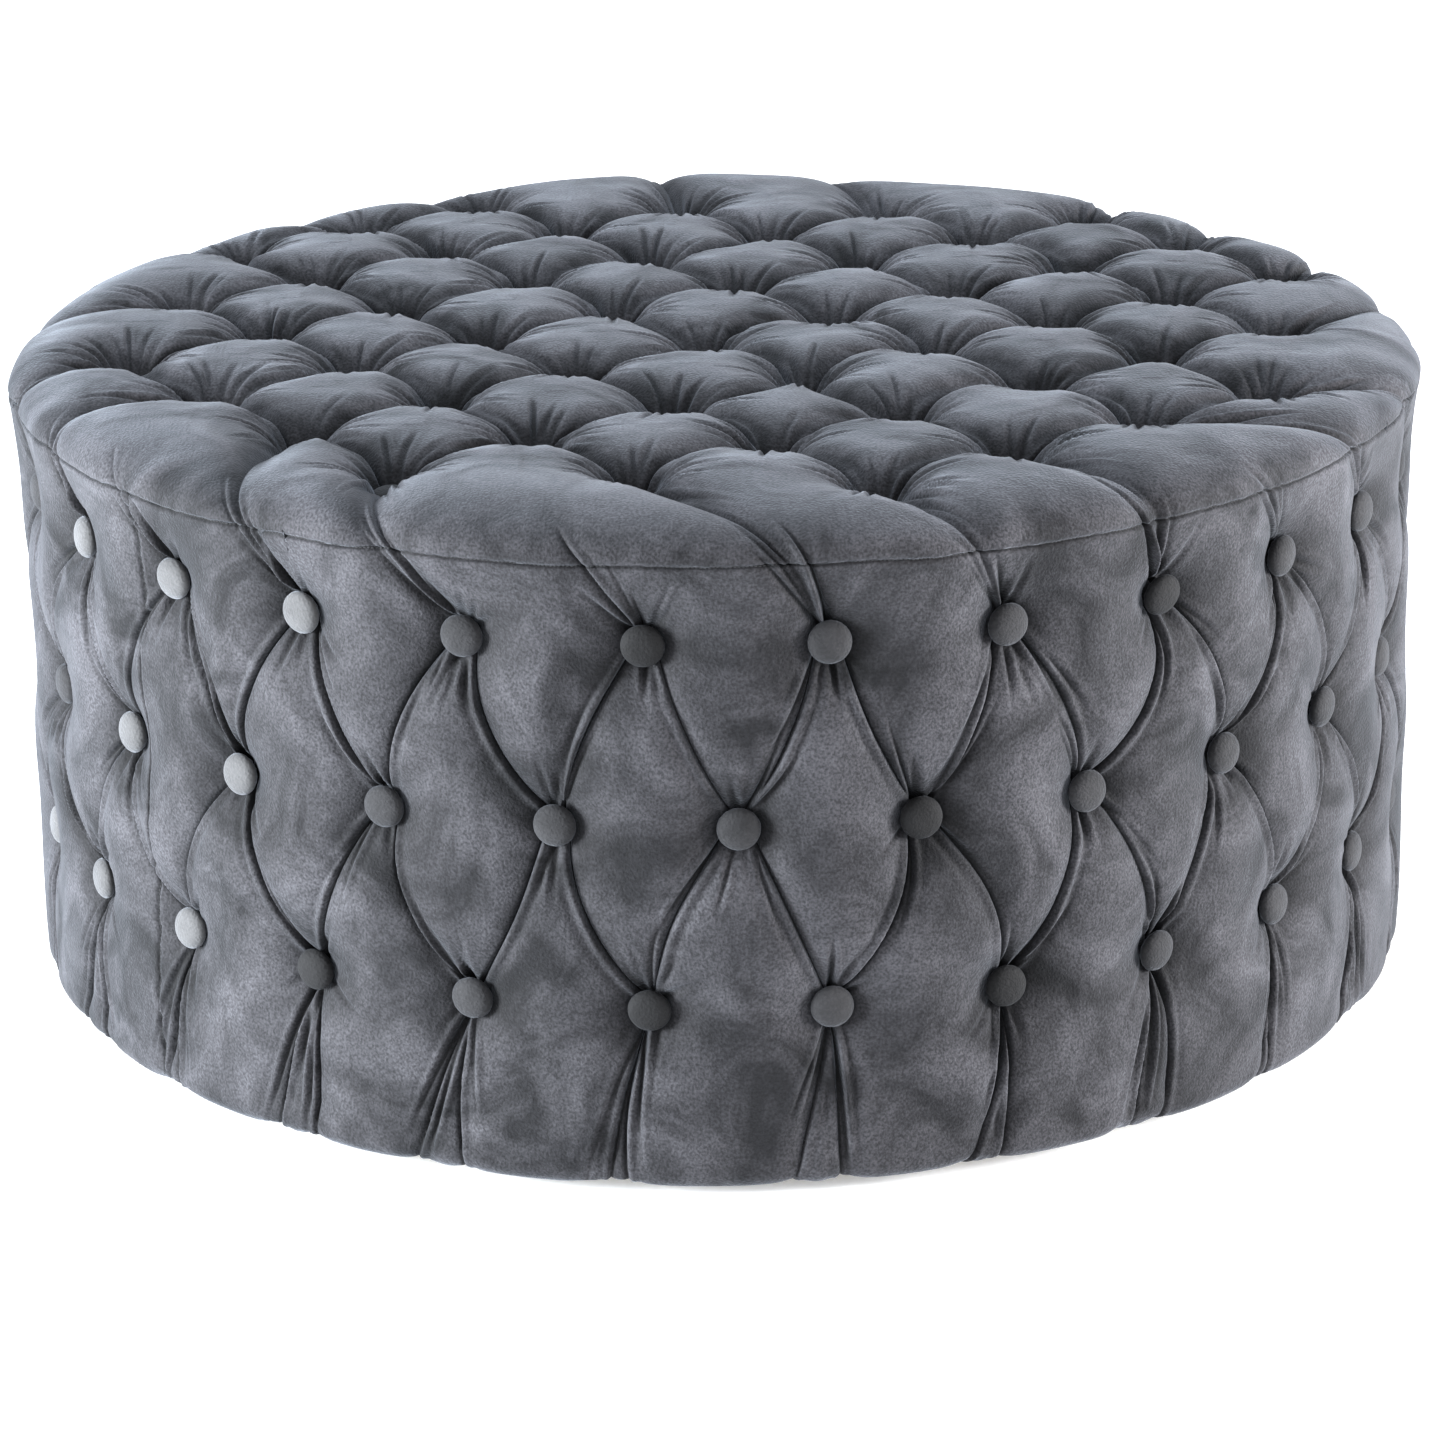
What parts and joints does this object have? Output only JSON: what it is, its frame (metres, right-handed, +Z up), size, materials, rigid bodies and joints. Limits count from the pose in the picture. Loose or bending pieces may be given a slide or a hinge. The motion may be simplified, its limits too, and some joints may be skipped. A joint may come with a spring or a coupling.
{
  "type": "ottoman",
  "caption": "Large round drum ottoman, deep buttoned in velvet on its top and all round its side, on a closed timber frame.",
  "frame": {"origin": "on the floor under the middle of the drum", "axes": "+Z up along the drum's axis, front towards -Y, +X to the right seen from the front"},
  "size_m": [0.9998, 0.9998, 0.458],
  "materials": {
    "velvet": "blue-grey cut velvet with a brushed, patchy nap",
    "button_velvet": "the same velvet stretched over button shells",
    "foam": "open-cell upholstery foam with fibre wrap",
    "plywood": "raw birch plywood",
    "timber": "raw planed softwood",
    "hardboard": "smooth brown hardboard",
    "cambric": "black non-woven dust cloth",
    "tack_card": "stiff tacking card",
    "glide_plastic": "satin black moulded plastic"
  },
  "bodies": {
    "root": {"base_rail_back": "timber", "base_rail_front": "timber", "base_rail_long": "timber", "base_ring": "plywood", "centre_post": "timber", "dust_cover": "cambric", "glide_1": "glide_plastic", "glide_2": "glide_plastic", "glide_3": "glide_plastic", "glide_4": "glide_plastic", "glide_5": "glide_plastic", "glide_6": "glide_plastic", "hoop_lower": "plywood", "hoop_upper": "plywood", "post_1": "timber", "post_2": "timber", "post_3": "timber", "post_4": "timber", "post_5": "timber", "post_6": "timber", "post_7": "timber", "post_8": "timber", "side_buttons_lower": "button_velvet", "side_buttons_middle": "button_velvet", "side_buttons_upper": "button_velvet", "side_cover_back": "velvet", "side_cover_front": "velvet", "side_foam_back": "foam", "side_foam_front": "foam", "tack_strip": "tack_card", "top_board": "plywood", "top_buttons_row_1": "button_velvet", "top_buttons_row_10": "button_velvet", "top_buttons_row_2": "button_velvet", "top_buttons_row_3": "button_velvet", "top_buttons_row_4": "button_velvet", "top_buttons_row_5": "button_velvet", "top_buttons_row_6": "button_velvet", "top_buttons_row_7": "button_velvet", "top_buttons_row_8": "button_velvet", "top_buttons_row_9": "button_velvet", "top_cover": "velvet", "top_foam": "foam", "top_rail_back": "timber", "top_rail_front": "timber", "wall_skin_back": "hardboard", "wall_skin_front": "hardboard"}
  },
  "joints": []
}
